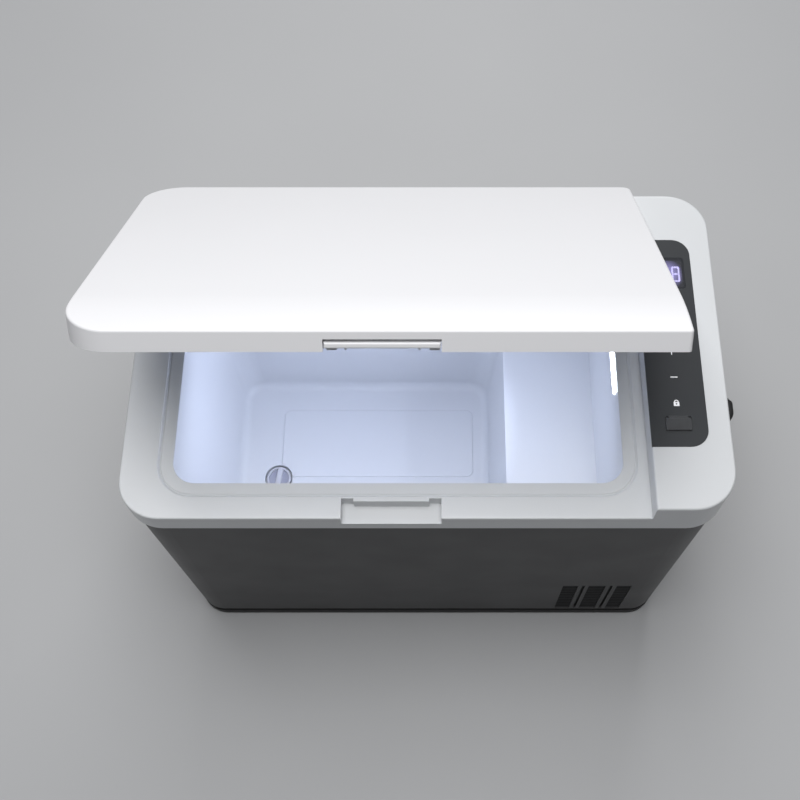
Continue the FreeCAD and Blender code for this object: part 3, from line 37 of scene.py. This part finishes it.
class Nodes:
    """A material's node tree, with short ways to add nodes and links."""

    def __init__(self, name):
        self.mat = bpy.data.materials.new(name)
        self.mat.use_nodes = True
        self.tree = self.mat.node_tree
        self.tree.nodes.clear()
        out = self.tree.nodes.new("ShaderNodeOutputMaterial")
        self.shader = self.tree.nodes.new("ShaderNodeBsdfPrincipled")
        self.link(self.shader.outputs["BSDF"], out.inputs["Surface"])
        self.place = self.tree.nodes.new("ShaderNodeTexCoord").outputs["Object"]

    def link(self, source, target):
        self.tree.links.new(source, target)

    def stretch(self, scale):
        """Object coordinates, scaled along each axis."""
        node = self.tree.nodes.new("ShaderNodeMapping")
        node.inputs["Scale"].default_value = scale
        self.link(self.place, node.inputs["Vector"])
        return node.outputs["Vector"]

    def noise(self, size, detail=2.0, rough=0.5, scale=(1, 1, 1)):
        """Noise whose features are about `size` metres across."""
        node = self.tree.nodes.new("ShaderNodeTexNoise")
        node.inputs["Scale"].default_value = 1.0 / size
        node.inputs["Detail"].default_value = detail
        node.inputs["Roughness"].default_value = rough
        self.link(self.stretch(scale), node.inputs["Vector"])
        return node.outputs["Fac"]

    def cells(self, size):
        """Distance to the nearest of points about `size` metres apart."""
        node = self.tree.nodes.new("ShaderNodeTexVoronoi")
        node.inputs["Scale"].default_value = 1.0 / size
        self.link(self.place, node.inputs["Vector"])
        return node.outputs["Distance"]

    def ramp(self, value, first, last):
        """A colour that goes from first to last as the value goes from 0 to 1."""
        node = self.tree.nodes.new("ShaderNodeValToRGB")
        for element, tone in zip(node.color_ramp.elements, (first, last)):
            element.color = (*tone, 1.0)
        self.link(value, node.inputs["Fac"])
        return node.outputs["Color"]

    def spread(self, value, low, high, into=(0.0, 1.0)):
        """Maps low..high to into, clamped."""
        node = self.tree.nodes.new("ShaderNodeMapRange")
        node.inputs["From Min"].default_value = low
        node.inputs["From Max"].default_value = high
        node.inputs["To Min"].default_value = into[0]
        node.inputs["To Max"].default_value = into[1]
        self.link(value, node.inputs["Value"])
        return node.outputs["Result"]

    def mix(self, amount, first, second):
        """The first colour, mixed with the second by the amount."""
        node = self.tree.nodes.new("ShaderNodeMix")
        node.data_type = "RGBA"
        for value, socket in ((amount, 0), (first, 6), (second, 7)):
            target = node.inputs[socket]
            if isinstance(value, bpy.types.NodeSocket):
                self.link(value, target)
            elif isinstance(value, (int, float)):
                target.default_value = value
            else:
                target.default_value = (*value, 1.0)
        return node.outputs[2]

    def math(self, how, first, second):
        node = self.tree.nodes.new("ShaderNodeMath")
        node.operation = how
        for value, target in ((first, node.inputs[0]), (second, node.inputs[1])):
            if isinstance(value, bpy.types.NodeSocket):
                self.link(value, target)
            else:
                target.default_value = value
        return node.outputs["Value"]

    def bump(self, height, depth):
        """Bump whose full height is `depth` metres."""
        node = self.tree.nodes.new("ShaderNodeBump")
        node.inputs["Strength"].default_value = 1.0
        node.inputs["Distance"].default_value = depth
        self.link(height, node.inputs["Height"])
        return node.outputs["Normal"]

    def set(self, **values):
        """Sets or links the shader's sockets by name, and gives the finished material."""
        for key, value in values.items():
            socket = self.shader.inputs[key.replace("_", " ")]
            if isinstance(value, bpy.types.NodeSocket):
                self.link(value, socket)
            elif isinstance(value, tuple) and len(value) == 3:
                socket.default_value = (*value, 1.0)
            else:
                socket.default_value = value
        return self.mat


def shade(colour, factor):
    return tuple(min(1.0, c * factor) for c in colour)


def moulded(name, colour, rough=0.45, grain=0.0005, depth=0.00002, mottle=0.03, specular=0.45,
            coat=0.0, handled=0.03):
    """Injection-moulded plastic: spark-eroded grain with painted shade in its pits, faint flow
    mottling and handling marks.
    """
    n = Nodes(name)
    flow = n.noise(0.16, 2.0, 0.5, scale=(1.0, 1.0, 1.7))
    tone = n.ramp(n.spread(flow, 0.25, 0.75), shade(colour, 1 - mottle), shade(colour, 1 + mottle))
    fine = n.noise(grain, 1.0, 0.5)
    pits = n.cells(grain * 1.8)
    # painted shade: the colour darkens toward each pit's centre, where the bump sinks
    tone = n.mix(n.spread(pits, 0.0, 0.7, (0.35, 0.0)), tone, shade(colour, 1 - 4.0 * mottle))
    rubbed = n.spread(n.noise(0.06, 2.0, 0.5), 0.25, 0.75, (rough - handled, rough + handled))
    height = n.math("ADD", n.math("MULTIPLY", pits, 0.6), n.math("MULTIPLY", fine, 0.6))
    return n.set(Base_Color=tone, Roughness=rubbed, Normal=n.bump(height, depth), IOR=1.5,
                 Specular_IOR_Level=specular, Coat_Weight=coat, Coat_Roughness=0.2)


def metal(name, colour, rough, brushed, depth, spots=0.0):
    """Metal with a drawn or rolled direction and light staining."""
    n = Nodes(name)
    lines = n.noise(0.0007, 3.0, 0.7, scale=brushed)
    painted_shade = n.noise(0.022, 4.0, 0.6)
    tone = n.mix(n.spread(painted_shade, 0.35, 0.7), shade(colour, 0.86), shade(colour, 1.06))
    if spots:
        patch = n.spread(n.cells(0.004), 0.0, 0.012, (spots, 0.0))
        tone = n.mix(patch, tone, shade(colour, 0.6))
    rubbed = n.math("ADD", n.spread(painted_shade, 0.3, 0.7, (rough - 0.06, rough + 0.1)),
                    n.spread(lines, 0.3, 0.7, (-0.05, 0.05)))
    return n.set(Base_Color=tone, Metallic=1.0, Roughness=rubbed, Normal=n.bump(lines, depth))


def rubber(name, colour, rough=0.75):
    """Soft rubber: matt, faintly bloomed, with a fine blasted surface."""
    n = Nodes(name)
    bloom = n.noise(0.018, 4.0, 0.6)
    fine = n.noise(0.0004, 2.0, 0.7)
    tone = n.mix(n.spread(bloom, 0.35, 0.75), colour, tuple(c * 1.35 + 0.006 for c in colour))
    rubbed = n.spread(fine, 0.3, 0.7, (rough - 0.08, rough + 0.08))
    return n.set(Base_Color=tone, Roughness=rubbed, Normal=n.bump(fine, 0.00003),
                 Specular_IOR_Level=0.35, Sheen_Weight=0.12, Sheen_Roughness=0.6)


def foamed(name, colour):
    """Rigid foam: closed cells with a skin, with painted shade in each cell's hollow."""
    n = Nodes(name)
    cell = n.cells(0.0016)
    # painted shade: each cell darkens toward its centre, where the bump sinks
    tone = n.ramp(n.spread(cell, 0.0, 0.0009), shade(colour, 0.72), colour)
    return n.set(Base_Color=tone, Roughness=0.85, Normal=n.bump(cell, 0.0004),
                 Specular_IOR_Level=0.3)


def board(name):
    """Circuit board: green resist over darker copper tracks, with tinned pads."""
    n = Nodes(name)
    tracks = n.tree.nodes.new("ShaderNodeTexBrick")
    tracks.inputs["Scale"].default_value = 140.0
    tracks.inputs["Mortar Size"].default_value = 0.018
    n.link(n.place, tracks.inputs["Vector"])
    green = n.mix(tracks.outputs["Fac"], (0.012, 0.11, 0.04), (0.02, 0.19, 0.075))
    pads = n.spread(n.cells(0.005), 0.0, 0.00085, (1.0, 0.0))
    crisp = n.spread(pads, 0.45, 0.55)
    return n.set(Base_Color=n.mix(crisp, green, (0.72, 0.72, 0.70)), Metallic=crisp,
                 Roughness=n.spread(n.noise(0.01, 3.0), 0.3, 0.7, (0.28, 0.42)),
                 Normal=n.bump(tracks.outputs["Fac"], 0.00003))


WAVE_PITCH = 0.314    # metres between a wave texture's bands at scale 1


def lit(name, colour, strength, across, pitch, low):
    """A lamp lens or lit segment: bright spots at a pitch in metres, `low` bright between them."""
    n = Nodes(name)
    wave = n.tree.nodes.new("ShaderNodeTexWave")
    wave.wave_type, wave.bands_direction, wave.wave_profile = "BANDS", across, "SIN"
    wave.inputs["Scale"].default_value = WAVE_PITCH / pitch
    n.link(n.place, wave.inputs["Vector"])
    spot = n.spread(wave.outputs["Fac"], 0.0, 1.0, (low, 1.0))
    frost = n.noise(0.0006, 2.0, 0.6)
    tone = n.mix(spot, shade(colour, 0.4), colour)
    return n.set(Base_Color=tone, Roughness=n.spread(frost, 0.3, 0.7, (0.25, 0.45)),
                 Normal=n.bump(frost, 0.00002), Emission_Color=tone, Emission_Strength=strength)


def smoked(name):
    """Smoked window over the display, close to the panel's own colour."""
    n = Nodes(name)
    haze = n.noise(0.006, 3.0, 0.6)
    tint = n.ramp(n.spread(haze, 0.3, 0.7), (0.050, 0.053, 0.061), (0.056, 0.059, 0.067))
    return n.set(Base_Color=tint, Roughness=n.spread(haze, 0.3, 0.7, (0.22, 0.30)),
                 Alpha=0.58, IOR=1.49)


def glowing(name, node, colour, strength):
    """The display's face, lit from behind: brightest at its middle, fading out to its edges."""
    n = Nodes(name)
    low, high = (Vector(corner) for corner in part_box(node))
    centre, half = (low + high) / 2, (high - low) / 2
    spot = n.tree.nodes.new("ShaderNodeMapping")
    spot.inputs["Location"].default_value = [-centre[i] / half[i] for i in range(2)] + [0.0]
    spot.inputs["Scale"].default_value = [1 / half.x, 1 / half.y, 0.0]
    n.link(n.place, spot.inputs["Vector"])
    reach = n.tree.nodes.new("ShaderNodeVectorMath")
    reach.operation = "LENGTH"
    n.link(spot.outputs["Vector"], reach.inputs[0])
    fade = n.spread(reach.outputs["Value"], 0.45, 1.15, (1.0, 0.0))
    grid = n.cells(0.0011)
    glow = n.math("MULTIPLY", fade, n.spread(grid, 0.0, 0.6, (1.0, 0.75)))
    tone = n.mix(glow, (0.010, 0.010, 0.012), colour)
    return n.set(Base_Color=(0.02, 0.02, 0.03), Roughness=n.spread(grid, 0.0, 0.6, (0.35, 0.5)),
                 Emission_Color=tone, Emission_Strength=strength)


def shaded_below_rim(name, node, colour, painted_shade):
    """Satin plastic, darker below the node's rim: painted shade in the plug's recess, broken up by
    noise.
    """
    n = Nodes(name)
    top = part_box(node)[1][2]
    level = n.tree.nodes.new("ShaderNodeSeparateXYZ")
    n.link(n.place, level.inputs["Vector"])
    shade_breakup = n.spread(n.noise(0.005, 3.0, 0.6), 0.3, 0.7, (0.75, 1.0))
    # painted shade: the colour darkens below the rim, where the recess's shade falls
    sunk = n.spread(level.outputs["Z"], top - 0.0036, top - 0.0018, (1.0, 0.0))
    shade_mask = n.math("MULTIPLY", shade_breakup, sunk)
    grain = n.noise(0.0005, 2.0, 0.5)
    return n.set(Base_Color=n.mix(shade_mask, colour, painted_shade), Normal=n.bump(grain, 0.000006),
                 Roughness=n.spread(shade_mask, 0.0, 1.0, (0.36, 0.55)), IOR=1.5)


# ---------------------------------------------------------------- finishes by slot

FINISH = {
    "cabinet_black": moulded("cabinet_grained", (0.045, 0.045, 0.046), rough=0.46, grain=0.0007,
                             depth=0.00005, mottle=0.012, specular=0.42),
    "base_black": moulded("base_grained", (0.014, 0.014, 0.015), rough=0.55, grain=0.0007,
                          depth=0.00005, mottle=0.08, specular=0.35),
    "frame_grey": moulded("frame_satin", (0.660, 0.675, 0.692), rough=0.30, grain=0.0004,
                          depth=0.000005, mottle=0.006, specular=0.5, coat=0.1, handled=0.012),
    "lid_white": moulded("lid_satin", (0.78, 0.78, 0.80), rough=0.38, grain=0.0004,
                         depth=0.000006, mottle=0.005, specular=0.45, handled=0.015),
    "liner_white": moulded("liner_gloss", (0.785, 0.80, 0.825), rough=0.30, grain=0.0009,
                           depth=0.000006, mottle=0.006, specular=0.5, coat=0.1, handled=0.015),
    "foam": foamed("foam_rigid", (0.72, 0.62, 0.36)),
    "rubber_black": rubber("rubber_soft", (0.018, 0.018, 0.018)),
    "rubber_grey": rubber("rubber_panel", (0.040, 0.042, 0.046), rough=0.6),
    "gasket_grey": rubber("gasket_soft", (0.30, 0.31, 0.32), rough=0.6),
    "steel_zinc": metal("zinc_plated", (0.62, 0.63, 0.64), rough=0.32, brushed=(1, 1, 6),
                        depth=0.000008, spots=0.2),
    "steel_black": moulded("black_enamel", (0.012, 0.012, 0.013), rough=0.28, grain=0.0012,
                           depth=0.00003, mottle=0.08, specular=0.5, coat=0.3),
    "aluminium": metal("mill_aluminium", (0.76, 0.77, 0.78), rough=0.3, brushed=(8, 1, 1),
                       depth=0.00001),
    "copper": metal("drawn_copper", (0.62, 0.30, 0.17), rough=0.28, brushed=(1, 5, 1),
                    depth=0.000008, spots=0.3),
    "pcb_green": board("circuit_board"),
    "panel_grey": moulded("panel_satin", (0.036, 0.039, 0.043), rough=0.36, grain=0.0003,
                          depth=0.000006, mottle=0.02, specular=0.45, handled=0.015),
    "smoke_window": smoked("smoked_window"),
    "icon_white": lit("key_marks", (0.80, 0.80, 0.82), strength=0.35, across="Y", pitch=0.004,
                      low=0.8),
    "digits_lit": lit("lit_segments", (0.66, 0.62, 1.0), strength=5.5, across="X", pitch=0.003,
                      low=0.6),
    "led_diffuser": lit("lamp_lens", (0.86, 0.93, 1.0), strength=9.0, across="Y", pitch=0.010,
                        low=0.5),
    "socket_black": moulded("socket_moulding", (0.018, 0.018, 0.019), rough=0.48, grain=0.0006,
                            depth=0.00003, mottle=0.06, specular=0.4),
}
for row in frame["record"]["subparts"]:
    for held in NODES[row["node"]].material_slots:
        held.material = FINISH[row["material_slot"]]
NODES["display_module"].material_slots[0].material = glowing(
    "display_face", "display_module", (0.40, 0.36, 0.78), strength=4.5)
# the drain plug's recess gets painted shade below its rim
NODES["drain_plug"].material_slots[0].material = shaded_below_rim(
    "plug_satin", "drain_plug", (0.62, 0.62, 0.66), painted_shade=(0.42, 0.43, 0.52))

# ---------------------------------------------------------------- studio


def soft_light(name, place, target, size, watts, colour=(1, 1, 1), spread=math.pi):
    """A rectangular lamp at place, facing target; size is its sides in metres."""
    data = bpy.data.lights.new(name, "AREA")
    data.shape, data.size, data.size_y = "RECTANGLE", *size
    data.energy, data.color, data.spread = watts, colour, spread
    lamp = bpy.data.objects.new(name, data)
    bpy.context.collection.objects.link(lamp)
    lamp.location = place
    lamp.rotation_euler = (Vector(target) - Vector(place)).to_track_quat("-Z", "Y").to_euler()


soft_light("key", (-0.12, -0.05, 2.3), (0, 0, 0.35), (1.7, 1.0), 37)
soft_light("back", (0.25, 2.3, 1.75), (0, 0.1, 0.4), (1.4, 0.8), 24)
soft_light("side_left", (-2.0, -0.5, 1.6), (0, 0, 0.2), (1.0, 1.0), 3.0)
soft_light("side_right", (2.0, 0.1, 1.7), (0, 0, 0.3), (0.9, 0.9), 2.5)

LED_TINT = (0.70, 0.775, 1.0)
lens_lo, lens_hi = (Vector(corner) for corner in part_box("led_lens"))
lamp_at = (lens_lo.x - 0.002, (lens_lo.y + lens_hi.y) / 2, (lens_lo.z + lens_hi.z) / 2)
soft_light("tub_lamp", lamp_at, (lamp_at[0] - 0.4, lamp_at[1], lamp_at[2] - 0.05),
           (lens_hi.y - lens_lo.y, 0.008), 0.255, LED_TINT, math.radians(105))
tub_lo, tub_hi = (Vector(corner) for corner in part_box("tub_liner"))
tub_x = (tub_lo.x + tub_hi.x) / 2
soft_light("tub_glow", (tub_x, 0.0, tub_hi.z - 0.004), (tub_x, 0.0, 0.0), (0.36, 0.20), 0.23,
           LED_TINT, math.radians(170))

world = bpy.data.worlds.new("studio")
world.use_nodes = True
world.node_tree.nodes["Background"].inputs["Color"].default_value = (0.86, 0.89, 0.93, 1)
world.node_tree.nodes["Background"].inputs["Strength"].default_value = 0.10
bpy.context.scene.world = world


FLOOR_HALF = 6.0    # metres from its middle to each side


def floor():
    """The pale floor, which isn't part of the object."""
    mesh = bpy.data.meshes.new("floor")
    bm = bmesh.new()
    bmesh.ops.create_grid(bm, x_segments=1, y_segments=1, size=FLOOR_HALF)
    bm.to_mesh(mesh)
    bm.free()
    made = bpy.data.objects.new("floor", mesh)
    bpy.context.collection.objects.link(made)
    n = Nodes("floor_pale")
    cloud = n.spread(n.noise(0.5, 3.0), 0.3, 0.7)
    tone = n.ramp(cloud, (0.50, 0.505, 0.515), (0.52, 0.525, 0.535))
    mesh.materials.append(n.set(Base_Color=tone, Roughness=0.8, Specular_IOR_Level=0.2))


floor()

# ---------------------------------------------------------------- camera

SENSOR_MM = 36.0
LENS_MM = 51.22
CAMERA_AT = (0.00355, -0.52889, 1.39982)
CAMERA_TILT = math.radians(25.0)    # up from looking straight down
camera_data = bpy.data.cameras.new("camera")
camera_data.sensor_width = SENSOR_MM
camera_data.lens = LENS_MM
camera_data.shift_x = -0.04556
camera_data.clip_start, camera_data.clip_end = 0.02, 30
camera = bpy.data.objects.new("camera", camera_data)
camera.location = CAMERA_AT
camera.rotation_euler = (CAMERA_TILT, 0.0, 0.0)
bpy.context.collection.objects.link(camera)
bpy.context.scene.camera = camera
bpy.context.scene.view_settings.view_transform = "Standard"
